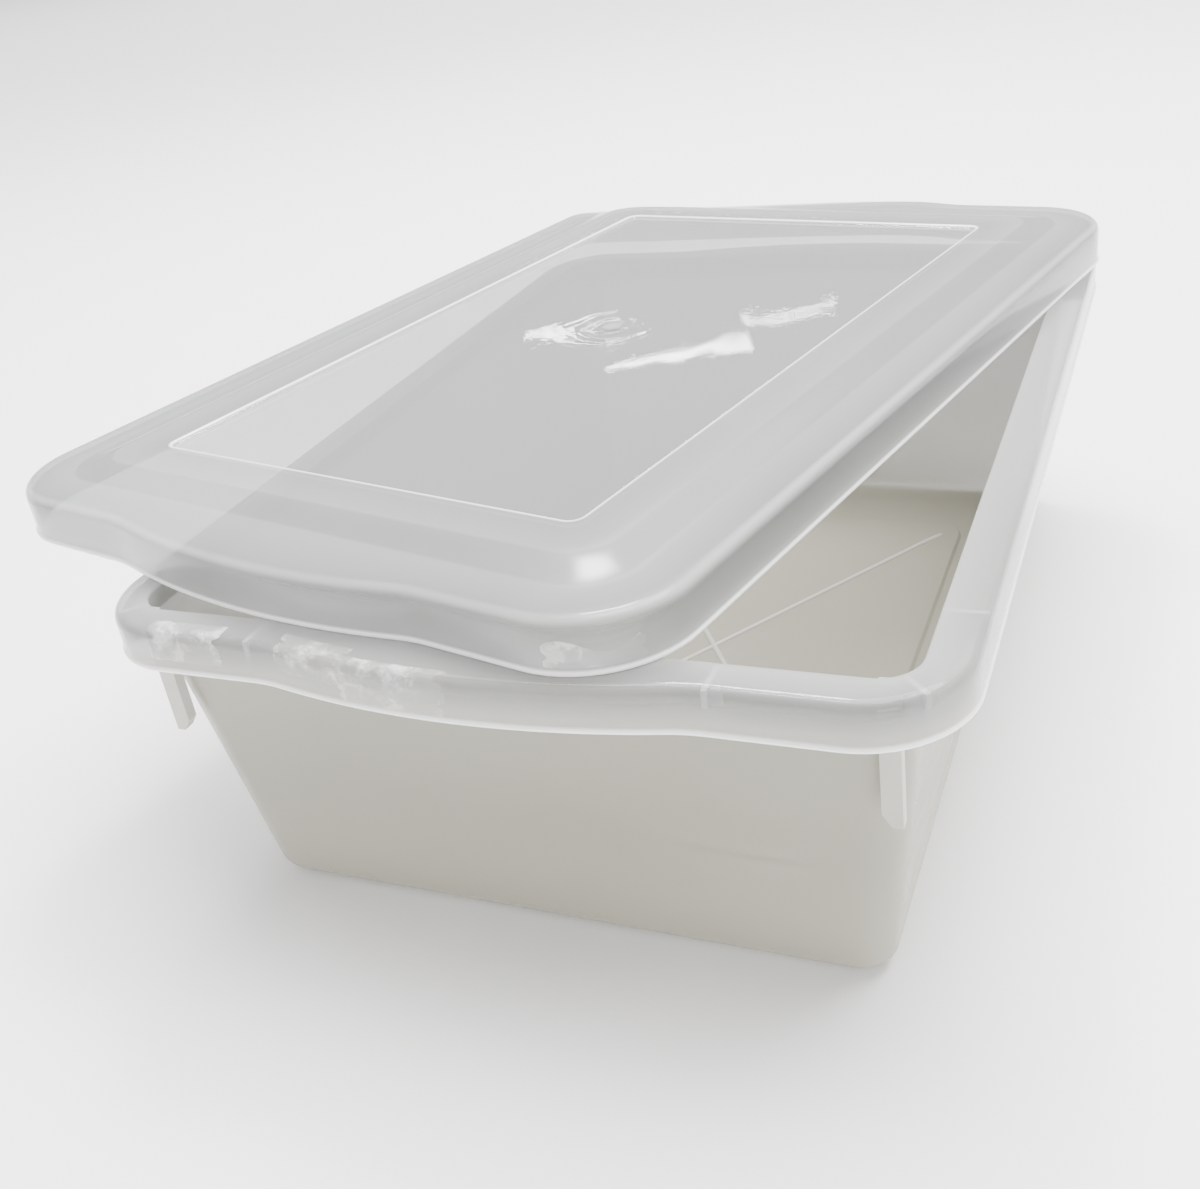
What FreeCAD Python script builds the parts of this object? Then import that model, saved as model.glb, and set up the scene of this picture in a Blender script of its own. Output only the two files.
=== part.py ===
import FreeCAD, Part
import math
import os
import Sketcher

# Shoe box of two polypropylene mouldings: an open tub and a loose lid that lies askew on its rim.
# Origin: centre of the tub's base on the surface it stands on. X is the short side, Y the long
# side, Z up. All sizes are in millimetres.

Vector = FreeCAD.Vector
Rotation = FreeCAD.Rotation
Z_AXIS = Vector(0, 0, 1)

LEAN = "(sheet.base_inset - sheet.opening_inset + sheet.wall) / sheet.rim_height"
CORNERS = (
    ("rear_right", 1, 1),
    ("front_right", 1, -1),
    ("rear_left", -1, 1),
    ("front_left", -1, -1),
)
FLAT = 0.01

SIZES = (
    # tub, overall
    ("rim_width", 210.0, "outside of the rim across X"),
    ("rim_length", 304.0, "outside of the rim along Y, without the grip bulges"),
    ("rim_height", 91.0, "top of the rim above the base"),
    ("rim_corner", 23.5, "plan radius of the rim's corners"),
    ("rim_skirt", 11.0, "height of the skirt that hangs from the rim"),
    ("rim_round", 2.6, "rounding along the rim's top edge"),
    ("wall", 1.4, "wall of the tub"),
    ("opening_inset", 10.4, "rim's edge to the opening"),
    ("opening_corner", 9.0, "plan radius of the opening's corners"),
    ("base_inset", 20.2, "rim's edge to the foot of the wall, before its rounding"),
    ("base_corner", 8.0, "plan radius of the wall's corners at the base"),
    ("base_round", 7.5, "rounding between wall and floor, outside"),
    # grip bulges of both short sides
    ("grip_half", 55.0, "half the width of a grip bulge"),
    ("grip_depth", 6.0, "how far a grip bulge stands out"),
    ("grip_ease", 40.0, "radius that leads into a grip bulge"),
    # edges of the skirts
    ("lip_reach", 0.5, "how far the lip along a skirt's lower edge stands out"),
    ("lip_height", 1.0, "height of that lip"),
    ("lip_round", 0.45, "rounding along that lip's upper edge"),
    # ribs under the rim
    ("rib_thickness", 1.2, "thickness of a rib under the rim"),
    ("rib_depth", 8.0, "how far the ribs reach down under the rim"),
    ("side_rib_place", 113.0, "ribs of the long sides, from the middle"),
    # stacking lugs
    ("lug_width", 4.4, "width of a stacking lug"),
    ("lug_reach", 4.6, "how far a lug stands out of the wall at its foot"),
    ("lug_foot", 56.0, "height of a lug's lower tip above the base"),
    ("lug_bevel", 3.0, "height of the bevel under a lug"),
    ("lug_bevel_width", 2.1, "width of the bevel under a lug"),
    # floor
    ("panel_width", 130.0, "raised floor panel across X"),
    ("panel_length", 196.0, "raised floor panel along Y"),
    ("panel_corner", 10.0, "plan radius of the floor panel"),
    ("panel_rise", 1.2, "height of the floor panel's step"),
    ("cross_width", 2.0, "width of the diagonal floor ribs"),
    ("cross_height", 0.6, "height of the diagonal floor ribs"),
    # lid
    ("lid_gap", 0.9, "play between the lid's skirt and the rim"),
    ("lid_wall", 1.4, "wall of the lid"),
    ("lid_skirt", 13.3, "height of the lid's skirt"),
    ("lid_round", 2.8, "rounding along the lid's top edge"),
    ("slope_inset", 13.0, "lid's edge to the foot of the slope"),
    ("slope_run", 10.0, "width of the slope"),
    ("slope_rise", 2.2, "height of the slope"),
    ("slope_corner", 15.0, "plan radius at the foot of the slope"),
    ("window_inset", 35.5, "lid's edge to the sunk window"),
    ("window_corner", 4.0, "plan radius of the window"),
    ("window_sink", 0.8, "depth of the window"),
    ("gate_radius", 3.0, "radius of the moulding gate's mark"),
    ("gate_height", 0.5, "height of the gate's mark"),
    # where the lid lies
    ("lid_turn", -12.9, "turn of the lid on the rim, in degrees"),
    ("lid_aside", -28.7, "lid's middle from the tub's, along X"),
    ("lid_back", 17.2, "lid's middle from the tub's, along Y"),
)


def make_sheet(doc):
    sheet = doc.addObject("Spreadsheet::Sheet", "sheet")
    for row, (alias, value, note) in enumerate(SIZES, start=1):
        sheet.set(f"A{row}", alias)
        sheet.set(f"B{row}", str(value))
        sheet.set(f"C{row}", note)
        sheet.setAlias(f"B{row}", alias)
    doc.recompute()
    return sheet


def bind(item, **expressions):
    """Binds properties to the sheet. Double underscores stand for dots in a property path."""
    for path, expression in expressions.items():
        item.setExpression(path.replace("__", "."), expression)
    return item


def rounded_outline(sheet, name, width, length, radius, height):
    """Sketch of a rounded rectangle about the Z axis, each size an expression on the sheet."""
    half_x = sheet.evalExpression(width) / 2
    half_y = sheet.evalExpression(length) / 2
    bend = sheet.evalExpression(radius)
    sketch = sheet.Document.addObject("Sketcher::SketchObject", name)
    corners = [
        (half_x - bend, half_y - bend, 0),
        (bend - half_x, half_y - bend, 90),
        (bend - half_x, bend - half_y, 180),
        (half_x - bend, bend - half_y, 270),
    ]
    arcs = []
    for x, y, start in corners:
        circle = Part.Circle(Vector(x, y, 0), Z_AXIS, bend)
        ends = math.radians(start), math.radians(start + 90)
        arcs.append(sketch.addGeometry(Part.ArcOfCircle(circle, *ends)))
    lines = []
    for first, second in zip(arcs, arcs[1:] + arcs[:1]):
        end = sketch.getPoint(first, 2)
        start = sketch.getPoint(second, 1)
        line = sketch.addGeometry(Part.LineSegment(end, start))
        sketch.addConstraint(Sketcher.Constraint("Tangent", first, 2, line, 1))
        sketch.addConstraint(Sketcher.Constraint("Tangent", line, 2, second, 1))
        lines.append(line)
    sketch.addConstraint(Sketcher.Constraint("Horizontal", lines[2]))
    sketch.addConstraint(Sketcher.Constraint("Vertical", lines[3]))
    for arc in arcs[1:]:
        sketch.addConstraint(Sketcher.Constraint("Equal", arcs[0], arc))
    sketch.addConstraint(Sketcher.Constraint("Symmetric", lines[0], 1, lines[0], 2, -2))
    sketch.addConstraint(Sketcher.Constraint("Symmetric", lines[1], 1, lines[1], 2, -1))
    measures = (
        ("radius", ("Radius", arcs[0], bend), radius),
        ("width", ("DistanceX", lines[1], 1, lines[3], 1, 2 * half_x), width),
        ("length", ("DistanceY", lines[2], 1, lines[0], 1, 2 * half_y), length),
    )
    for label, constraint, expression in measures:
        sketch.renameConstraint(sketch.addConstraint(Sketcher.Constraint(*constraint)), label)
        sketch.setExpression(f"Constraints.{label}", expression)
    sketch.setExpression("Placement.Base.z", height)
    return sketch


def rim_outline(sheet, name, out="0"):
    """Outline of the rim, moved outwards by a distance, as the skirts and the lid follow it.

    It is a rounded rectangle whose short sides bulge out as grips. A grip is one wide arc, led
    in at both ends by a smaller arc of the opposite bend."""
    moved = sheet.evalExpression(out)
    half_x = sheet.rim_width / 2 + moved
    half_y = sheet.rim_length / 2 + moved
    bend = sheet.rim_corner + moved
    half = sheet.grip_half
    depth = sheet.grip_depth
    ease = sheet.grip_ease - moved
    crown = (half * half + depth * depth) / (2 * depth) - ease
    sweep = math.atan2(half, crown + ease - depth)
    sketch = sheet.Document.addObject("Sketcher::SketchObject", name)

    def arc(x, y, radius, start, end):
        circle = Part.Circle(Vector(x, y, 0), Z_AXIS, radius)
        return sketch.addGeometry(Part.ArcOfCircle(circle, start, end))

    def line(x_start, y_start, x_end, y_end):
        ends = Vector(x_start, y_start, 0), Vector(x_end, y_end, 0)
        return sketch.addGeometry(Part.LineSegment(*ends))

    right, up, left, down = 0.0, math.pi / 2, math.pi, 3 * math.pi / 2
    x_in = half_x - bend
    y_in = half_y - bend
    centre = half_y + depth - crown
    # each entry: the piece, its first end and its last end on the way round, against the clock
    loop = [
        (line(half_x, -y_in, half_x, y_in), 1, 2),
        (arc(x_in, y_in, bend, right, up), 1, 2),
        (line(x_in, half_y, half, half_y), 1, 2),
        (arc(half, half_y + ease, ease, down - sweep, down), 2, 1),
        (arc(0, centre, crown, up - sweep, up + sweep), 1, 2),
        (arc(-half, half_y + ease, ease, down, down + sweep), 2, 1),
        (line(-half, half_y, -x_in, half_y), 1, 2),
        (arc(-x_in, y_in, bend, up, left), 1, 2),
        (line(-half_x, y_in, -half_x, -y_in), 1, 2),
        (arc(-x_in, -y_in, bend, left, down), 1, 2),
        (line(-x_in, -half_y, -half, -half_y), 1, 2),
        (arc(-half, -half_y - ease, ease, up - sweep, up), 2, 1),
        (arc(0, -centre, crown, down - sweep, down + sweep), 1, 2),
        (arc(half, -half_y - ease, ease, up, up + sweep), 2, 1),
        (line(half, -half_y, x_in, -half_y), 1, 2),
        (arc(x_in, -y_in, bend, down, down + math.pi / 2), 1, 2),
    ]
    for (first, _, last_end), (second, first_end, _) in zip(loop, loop[1:] + loop[:1]):
        joint = Sketcher.Constraint("Tangent", first, last_end, second, first_end)
        sketch.addConstraint(joint)
    pieces = [entry[0] for entry in loop]
    corner_arcs = pieces[1], pieces[7], pieces[9], pieces[15]
    ease_arcs = pieces[3], pieces[5], pieces[11], pieces[13]
    crown_arcs = pieces[4], pieces[12]
    right_line, left_line = pieces[0], pieces[8]
    rear_right, rear_left, front_left, front_right = pieces[2], pieces[6], pieces[10], pieces[14]
    for group in (corner_arcs, ease_arcs, crown_arcs):
        for other in group[1:]:
            sketch.addConstraint(Sketcher.Constraint("Equal", group[0], other))
    mirrored = (
        (right_line, 1, right_line, 2, -1),
        (right_line, 2, left_line, 1, -2),
        (right_line, 1, left_line, 2, -2),
        (rear_right, 2, rear_left, 1, -2),
        (front_right, 1, front_left, 2, -2),
    )
    for ends in mirrored:
        sketch.addConstraint(Sketcher.Constraint("Symmetric", *ends))
    for item in (rear_right, front_right):
        sketch.addConstraint(Sketcher.Constraint("Horizontal", item))
    wide = "2 * sheet.grip_half"
    depth_of = "sheet.grip_depth"
    ease_of = f"sheet.grip_ease - ({out})"
    crown_of = f"(sheet.grip_half ^ 2 + {depth_of} ^ 2) / (2 * {depth_of}) - ({ease_of})"
    wider = f"sheet.rim_width + 2 * ({out})"
    longer = f"sheet.rim_length + 2 * ({out})"
    measures = (
        ("corner", ("Radius", corner_arcs[0], bend), f"sheet.rim_corner + {out}"),
        ("ease", ("Radius", ease_arcs[0], ease), ease_of),
        ("crown", ("Radius", crown_arcs[0], crown), crown_of),
        ("width", ("DistanceX", left_line, 1, right_line, 1, 2 * half_x), wider),
        ("length", ("DistanceY", front_right, 1, rear_right, 1, 2 * half_y), longer),
        ("rear_grip", ("DistanceX", rear_left, 1, rear_right, 2, 2 * half), wide),
        ("front_grip", ("DistanceX", front_left, 2, front_right, 1, 2 * half), wide),
    )
    for label, constraint, expression in measures:
        sketch.renameConstraint(sketch.addConstraint(Sketcher.Constraint(*constraint)), label)
        sketch.setExpression(f"Constraints.{label}", expression)
    return sketch


def extrude(outline, name, start, height):
    """Upright solid over an outline, from a start height on the sheet."""
    doc = outline.Document
    sheet = doc.getObject("sheet")
    block = doc.addObject("Part::Extrusion", name)
    block.Base = outline
    block.DirMode = "Custom"
    block.Dir = Z_AXIS
    block.Solid = True
    block.LengthFwd = sheet.evalExpression(height)
    block.setExpression("LengthFwd", height)
    block.setExpression("Placement.Base.z", start)
    return block


def loft(name, sections):
    block = sections[0].Document.addObject("Part::Loft", name)
    block.Sections = sections
    block.Solid = True
    block.Ruled = True
    return block


def fuse(name, pieces):
    whole = pieces[0].Document.addObject("Part::MultiFuse", name)
    whole.Shapes = pieces
    return whole


def cut(name, base, tool):
    rest = base.Document.addObject("Part::Cut", name)
    rest.Base = base
    rest.Tool = tool
    return rest


def common(name, first, second):
    shared = first.Document.addObject("Part::Common", name)
    shared.Base = first
    shared.Tool = second
    return shared


def fillet(base, name, radius, at_height):
    """Rounds every edge that lies flat at one height, by radii given as numbers."""
    base.Document.recompute()
    rounded = base.Document.addObject("Part::Fillet", name)
    rounded.Base = base
    rounded.Edges = [
        (number, radius, radius)
        for number, edge in enumerate(base.Shape.Edges, start=1)
        if abs(edge.BoundBox.ZMin - at_height) < FLAT and abs(edge.BoundBox.ZMax - at_height) < FLAT
    ]
    return rounded


def inset(measure, distance):
    """Expression for an overall size with the same distance taken off both sides."""
    return f"{measure} - 2 * ({distance})"


def walls(sheet, name, shift, floor, top):
    """Drafted block of the tub's wall, moved inwards by shift, from floor to top.

    The wall leans from the opening down to the base, and the block follows that lean."""
    sections = []
    for level, height in (("foot", floor), ("head", top)):
        sunk = f"sheet.base_inset - {LEAN} * ({height}) + {shift}"
        bend = (
            f"sheet.base_corner + (sheet.opening_corner + sheet.wall - sheet.base_corner)"
            f" * ({height}) / sheet.rim_height - {shift}"
        )
        sections.append(
            rounded_outline(
                sheet,
                f"{name}_{level}",
                inset("sheet.rim_width", sunk),
                inset("sheet.rim_length", sunk),
                bend,
                height,
            )
        )
    return loft(name, sections)


def box(sheet, name, length, width, height, centre, bottom, turn=0.0):
    """Box bound to the sheet, centred on a point in plan, turned about its own middle."""
    block = sheet.Document.addObject("Part::Box", name)
    bind(block, Length=length, Width=width, Height=height)
    spin = Rotation(Z_AXIS, turn)
    block.Placement.Rotation = spin
    across = spin.multVec(Vector(1, 0, 0))
    along = spin.multVec(Vector(0, 1, 0))
    for axis, place in zip("xy", centre):
        back_x = getattr(across, axis)
        back_y = getattr(along, axis)
        block.setExpression(
            f"Placement.Base.{axis}",
            f"{place} - ({back_x:.9f}) * ({length}) / 2 - ({back_y:.9f}) * ({width}) / 2",
        )
    block.setExpression("Placement.Base.z", bottom)
    return block


def rim_ribs(sheet):
    """Ribs that stiffen the rim from below: at the grips, on the long sides, across the corners.

    They are longer than they need to be, and are trimmed to the rim's block later."""
    bottom = "sheet.rim_height - sheet.wall - sheet.rib_depth"
    height = "sheet.rib_depth + sheet.wall / 2"
    reach = "4 * sheet.opening_inset"
    thick = "sheet.rib_thickness"
    ribs = []
    for corner, x_side, y_side in CORNERS:
        at_grip = f"{x_side} * sheet.grip_half", f"{y_side} * sheet.rim_length / 2"
        at_side = f"{x_side} * sheet.rim_width / 2", f"{y_side} * sheet.side_rib_place"
        at_corner = (
            f"{x_side} * (sheet.rim_width / 2 - sheet.opening_inset)",
            f"{y_side} * (sheet.rim_length / 2 - sheet.opening_inset)",
        )
        turn = 45 * x_side * y_side
        ribs += [
            box(sheet, f"grip_rib_{corner}", thick, reach, height, at_grip, bottom),
            box(sheet, f"side_rib_{corner}", reach, thick, height, at_side, bottom),
            box(sheet, f"corner_rib_{corner}", reach, thick, height, at_corner, bottom, turn),
        ]
    return fuse("rim_ribs", ribs)


def lugs(sheet):
    """Stacking lugs: an upright fin at each end of both short walls, bevelled at its foot.

    They hold stacked tubs apart, so that the tubs don't jam in each other."""
    wall_inset = f"(sheet.base_inset - {LEAN} * sheet.lug_foot)"
    height = "sheet.rim_height - sheet.wall / 2 - sheet.lug_foot"
    depth = f"sheet.lug_reach + {LEAN} * ({height}) + sheet.wall / 2"
    fins = []
    for corner, x_side, y_side in CORNERS:
        outer_x = f"(sheet.rim_width / 2 - {wall_inset})"
        outer_y = f"(sheet.rim_length / 2 - {wall_inset} + sheet.lug_reach)"
        centre = (
            f"{x_side} * ({outer_x} - sheet.lug_width / 2)",
            f"{y_side} * ({outer_y} - ({depth}) / 2)",
        )
        fin = box(sheet, f"lug_{corner}", "sheet.lug_width", depth, height, centre, "sheet.lug_foot")
        sheet.Document.recompute()
        bounds = fin.Shape.BoundBox
        inner_x = bounds.XMin if x_side > 0 else bounds.XMax
        bevelled = sheet.Document.addObject("Part::Chamfer", f"lug_bevelled_{corner}")
        bevelled.Base = fin
        bevelled.Edges = [
            (number, sheet.lug_bevel, sheet.lug_bevel_width)
            for number, edge in enumerate(fin.Shape.Edges, start=1)
            if abs(edge.CenterOfMass.z - sheet.lug_foot) < FLAT
            and abs(edge.CenterOfMass.x - inner_x) < FLAT
        ]
        fins.append(bevelled)
    return fuse("lugs", fins)


def make_tub(sheet):
    """Tub: drafted walls, a rim that turns down into a skirt, ribs, lugs and a stepped floor."""
    skirt_foot = "sheet.rim_height - sheet.rim_skirt"
    outline = rim_outline(sheet, "rim_outside")
    rim_block = extrude(outline, "rim_block", skirt_foot, "sheet.rim_skirt")
    rim_rounded = fillet(rim_block, "rim_rounded", sheet.rim_round, sheet.rim_height)
    inside = rim_outline(sheet, "rim_inside", "-sheet.wall")
    rim_hollow = extrude(inside, "rim_hollow", skirt_foot, "sheet.rim_skirt - sheet.wall")
    hollow_rounded = fillet(
        rim_hollow,
        "rim_hollow_rounded",
        sheet.rim_round - sheet.wall / 2,
        sheet.rim_height - sheet.wall,
    )
    rim = cut("rim", rim_rounded, hollow_rounded)
    lip_edge = rim_outline(sheet, "rim_lip_edge", "sheet.lip_reach")
    lip_block = extrude(lip_edge, "rim_lip_block", skirt_foot, "sheet.lip_height")
    lip_top = sheet.rim_height - sheet.rim_skirt + sheet.lip_height
    lip_rounded = fillet(lip_block, "rim_lip_rounded", sheet.lip_round, lip_top)
    lip = cut("rim_lip", lip_rounded, rim_hollow)
    ribs = common("rim_ribs_trimmed", rim_ribs(sheet), rim_block)
    wall_block = walls(sheet, "wall_block", "0", "0", "sheet.rim_height - sheet.wall / 2")
    wall_rounded = fillet(wall_block, "wall_rounded", sheet.base_round, 0)
    solid = fuse("tub_solid", [rim, lip, ribs, wall_rounded, lugs(sheet)])

    above = "sheet.rim_height + sheet.rim_round"
    cavity_block = walls(sheet, "cavity_block", "sheet.wall", "sheet.wall", above)
    cavity_rounded = fillet(
        cavity_block, "cavity_rounded", sheet.base_round - sheet.wall, sheet.wall
    )
    panel_size = "sheet.panel_width", "sheet.panel_length"
    panel_top_edge = rounded_outline(
        sheet, "panel_top_edge", *panel_size, "sheet.panel_corner", "0"
    )
    panel_top = extrude(panel_top_edge, "panel_top", "0", "sheet.wall + sheet.panel_rise")
    cross_length = "sqrt(sheet.panel_width ^ 2 + sheet.panel_length ^ 2) - 2 * sheet.panel_corner"
    slant = math.degrees(math.atan2(sheet.panel_length, sheet.panel_width))
    cross_height = "sheet.wall + sheet.panel_rise + sheet.cross_height"
    bars = [
        box(
            sheet, f"cross_{side}", cross_length, "sheet.cross_width", cross_height,
            ("0", "0"), "0", turn,
        )
        for side, turn in (("right", slant), ("left", -slant))
    ]
    floor_relief = fuse("floor_relief", [panel_top, *bars])
    cavity = cut("cavity", cavity_rounded, floor_relief)
    panel_under_edge = rounded_outline(
        sheet,
        "panel_under_edge",
        *(inset(size, "sheet.wall") for size in panel_size),
        "sheet.panel_corner - sheet.wall",
        "0",
    )
    panel_under = extrude(panel_under_edge, "panel_under", "0", "sheet.panel_rise")
    tub = cut("tub", solid, fuse("tub_hollows", [cavity, panel_under]))
    tub.Label = "tub"
    return tub


def make_lid(sheet):
    """Lid: a skirt that clears the rim, a flat border, a slope up to a raised top, a sunk window."""
    inner_edge = "sheet.lid_gap + sheet.lip_reach"
    outer_edge = f"{inner_edge} + sheet.lid_wall"
    outside = rim_outline(sheet, "lid_outside", outer_edge)
    inside = rim_outline(sheet, "lid_inside", inner_edge)
    skirt_block = extrude(outside, "lid_block", "0", "sheet.lid_skirt")
    skirt_rounded = fillet(skirt_block, "lid_rounded", sheet.lid_round, sheet.lid_skirt)
    hollow_block = extrude(inside, "lid_hollow_block", "0", "sheet.lid_skirt - sheet.lid_wall")
    hollow_rounded = fillet(
        hollow_block,
        "lid_hollow_rounded",
        sheet.lid_round - sheet.lid_wall / 2,
        sheet.lid_skirt - sheet.lid_wall,
    )
    lip_edge = rim_outline(sheet, "lid_lip_edge", f"{outer_edge} + sheet.lip_reach")
    lip_block = extrude(lip_edge, "lid_lip_block", "0", "sheet.lip_height")
    lip_rounded = fillet(lip_block, "lid_lip_rounded", sheet.lip_round, sheet.lip_height)

    lid_width = f"sheet.rim_width + 2 * ({outer_edge})"
    lid_length = f"sheet.rim_length + 2 * ({outer_edge})"

    def raised_block(name, lower):
        """Block under the slope and the raised top, moved down by one wall for the hollow."""
        sections = []
        steps = (
            ("root", "sheet.slope_inset", "sheet.slope_corner", "sheet.lid_skirt / 2"),
            ("foot", "sheet.slope_inset", "sheet.slope_corner", f"sheet.lid_skirt - {lower}"),
            (
                "head",
                "sheet.slope_inset + sheet.slope_run",
                "sheet.slope_corner - sheet.slope_run / 2",
                f"sheet.lid_skirt + sheet.slope_rise - {lower}",
            ),
        )
        for level, distance, bend, height in steps:
            sections.append(
                rounded_outline(
                    sheet,
                    f"{name}_{level}",
                    inset(lid_width, distance),
                    inset(lid_length, distance),
                    bend,
                    height,
                )
            )
        return loft(name, sections)

    top_solid = fuse("lid_solid", [skirt_rounded, lip_rounded, raised_block("lid_raised", "0")])
    hollow = fuse("lid_hollow", [hollow_rounded, raised_block("lid_raised_under", "sheet.lid_wall")])
    window_edge = rounded_outline(
        sheet,
        "window_edge",
        inset(lid_width, "sheet.window_inset"),
        inset(lid_length, "sheet.window_inset"),
        "sheet.window_corner",
        "0",
    )
    raised_top = "sheet.lid_skirt + sheet.slope_rise"
    window = extrude(window_edge, "window", f"{raised_top} - sheet.window_sink", "sheet.lid_skirt")
    shell = cut("lid_shell", top_solid, fuse("lid_hollows", [hollow, window]))
    gate = sheet.Document.addObject("Part::Cylinder", "gate_mark")
    bind(
        gate,
        Radius="sheet.gate_radius",
        Height="sheet.gate_height + sheet.lid_wall / 2",
        Placement__Base__z=f"{raised_top} - sheet.window_sink - sheet.lid_wall / 2",
    )
    lid = fuse("lid", [shell, gate])
    lid.Label = "lid"
    lid.Placement.Rotation = Rotation(Z_AXIS, sheet.lid_turn)
    bind(
        lid,
        Placement__Rotation__Angle="sheet.lid_turn * 1 deg",
        Placement__Base__x="sheet.lid_aside",
        Placement__Base__y="sheet.lid_back",
        Placement__Base__z="sheet.rim_height",
    )
    return lid


def check(doc, pieces):
    """Stops the build if any object failed or a piece isn't one sound solid."""
    failed = [item.Name for item in doc.Objects if {"Invalid", "Error"} & set(item.State)]
    if failed:
        raise RuntimeError(f"failed objects: {failed}")
    for piece in pieces:
        shape = piece.Shape
        if shape.isNull() or not shape.isValid() or len(shape.Solids) != 1:
            raise RuntimeError(f"{piece.Label} is not one sound solid")


def main():
    doc = FreeCAD.newDocument("shoe_box")
    sheet = make_sheet(doc)
    pieces = [make_tub(sheet), make_lid(sheet)]
    doc.recompute()
    check(doc, pieces)
    os.makedirs("parts", exist_ok=True)
    for piece in pieces:
        piece.Shape.exportStep(f"parts/{piece.Label}.step")
        print(piece.Label, "volume", round(piece.Shape.Volume), "mm3")


main()
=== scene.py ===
"""Looks of a translucent shoe box: a moulded tub and the loose lid that lies askew on its rim."""

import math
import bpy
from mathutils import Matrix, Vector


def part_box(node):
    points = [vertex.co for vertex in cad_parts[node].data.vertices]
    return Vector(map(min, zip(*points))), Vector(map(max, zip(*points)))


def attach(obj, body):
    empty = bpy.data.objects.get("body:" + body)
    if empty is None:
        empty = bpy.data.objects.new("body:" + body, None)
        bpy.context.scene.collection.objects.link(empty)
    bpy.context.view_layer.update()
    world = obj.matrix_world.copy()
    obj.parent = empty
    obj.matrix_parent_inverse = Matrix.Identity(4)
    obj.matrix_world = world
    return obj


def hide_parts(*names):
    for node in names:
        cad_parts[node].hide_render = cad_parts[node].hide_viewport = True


bl_info = {
    "name": "Shoe Box Looks",
    "version": (1, 0, 0),
    "blender": (4, 5, 0),
    "location": "View3D > Sidebar > Shoe Box",
    "description": "Moulded tub, loose lid and plain studio for a translucent shoe box",
    "category": "Object",
}

import bmesh
import bpy
import numpy as np
from bpy.props import FloatProperty, FloatVectorProperty, PointerProperty
from mathutils import Matrix, Vector

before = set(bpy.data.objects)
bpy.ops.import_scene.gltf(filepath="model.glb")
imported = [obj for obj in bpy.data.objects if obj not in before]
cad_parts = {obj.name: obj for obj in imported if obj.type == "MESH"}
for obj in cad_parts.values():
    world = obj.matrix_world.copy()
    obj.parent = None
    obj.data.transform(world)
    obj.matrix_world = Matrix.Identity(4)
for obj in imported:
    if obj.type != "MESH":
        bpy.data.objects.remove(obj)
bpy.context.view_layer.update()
MM = 0.001
TUB_LOW, TUB_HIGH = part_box("tub")
LID_LOW, LID_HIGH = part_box("lid")


def millimetres(name, default, description):
    return FloatProperty(name=name, default=default * MM, description=description, unit="LENGTH")


def colour(name, default, description):
    return FloatVectorProperty(
        name=name, default=default, size=3, min=0.0, max=1.0, subtype="COLOR",
        description=description,
    )


def share(name, default, description):
    return FloatProperty(
        name=name, default=default, min=0.0, max=1.0, subtype="FACTOR", description=description
    )


class ShoeBoxMouldSizes(bpy.types.PropertyGroup):
    """Sizes that both mouldings share"""

    wall: millimetres("Wall", 1.4, "Thickness of tub and lid")
    lip: millimetres("Lip reach", 0.5, "How far the lip along a skirt's edge stands out")
    lip_height: millimetres("Lip height", 1.0, "Height of that lip")
    rim_corner: millimetres("Rim corner", 23.5, "Plan radius of the rim's corners")
    grip_half: millimetres("Grip half width", 55.0, "Half the width of a grip bulge")
    grip_depth: millimetres("Grip depth", 6.0, "How far a grip bulge stands out")
    grip_ease: millimetres("Grip ease", 40.0, "Radius that leads into a grip bulge")


class ShoeBoxTubSizes(bpy.types.PropertyGroup):
    """Sizes of the tub"""

    rim_skirt: millimetres("Rim skirt", 11.0, "Height of the skirt that hangs from the rim")
    rim_round: millimetres("Rim rounding", 2.6, "Rounding along the rim's top edge")
    rim_clear: share("Rim clearness", 0.6, "How much clearer the rim is than the wall")
    opening_inset: millimetres("Opening inset", 10.4, "Rim's edge to the opening")
    opening_corner: millimetres("Opening corner", 9.0, "Plan radius of the opening's corners")
    opening_edge: millimetres("Opening edge", 0.6, "Rounding along the opening")
    base_inset: millimetres("Base inset", 20.2, "Rim's edge to the foot of the wall")
    base_corner: millimetres("Base corner", 8.0, "Plan radius of the wall at the base")
    base_round: millimetres("Base rounding", 7.5, "Rounding between wall and floor")
    root_round: millimetres("Root rounding", 1.0, "Rounding between wall and rim, below")
    panel_width: millimetres("Floor panel width", 130.0, "Raised floor panel across X")
    panel_length: millimetres("Floor panel length", 196.0, "Raised floor panel along Y")
    panel_corner: millimetres("Floor panel corner", 10.0, "Plan radius of the floor panel")
    panel_rise: millimetres("Floor panel rise", 1.2, "Height of the floor panel's step")
    panel_slope: millimetres("Floor panel slope", 1.4, "Width of the floor panel's step")
    rib_thickness: millimetres("Rib thickness", 1.2, "Thickness of a rib under the rim")
    rib_depth: millimetres("Rib depth", 8.0, "How far the ribs reach down under the rim")
    side_rib_place: millimetres("Side rib place", 113.0, "Long side's ribs from the middle")
    cross_width: millimetres("Cross width", 2.0, "Width of the diagonal floor ribs")
    cross_height: millimetres("Cross height", 0.6, "Height of the diagonal floor ribs")
    lug_width: millimetres("Lug width", 4.4, "Width of a stacking lug")
    lug_reach: millimetres("Lug reach", 4.6, "How far a lug stands out of the wall")
    lug_foot: millimetres("Lug foot", 56.0, "Height of a lug's tip above the base")
    lug_bevel: millimetres("Lug bevel", 3.0, "Height of the bevel under a lug")
    lug_bevel_width: millimetres("Lug bevel width", 2.1, "Width of that bevel")


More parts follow.
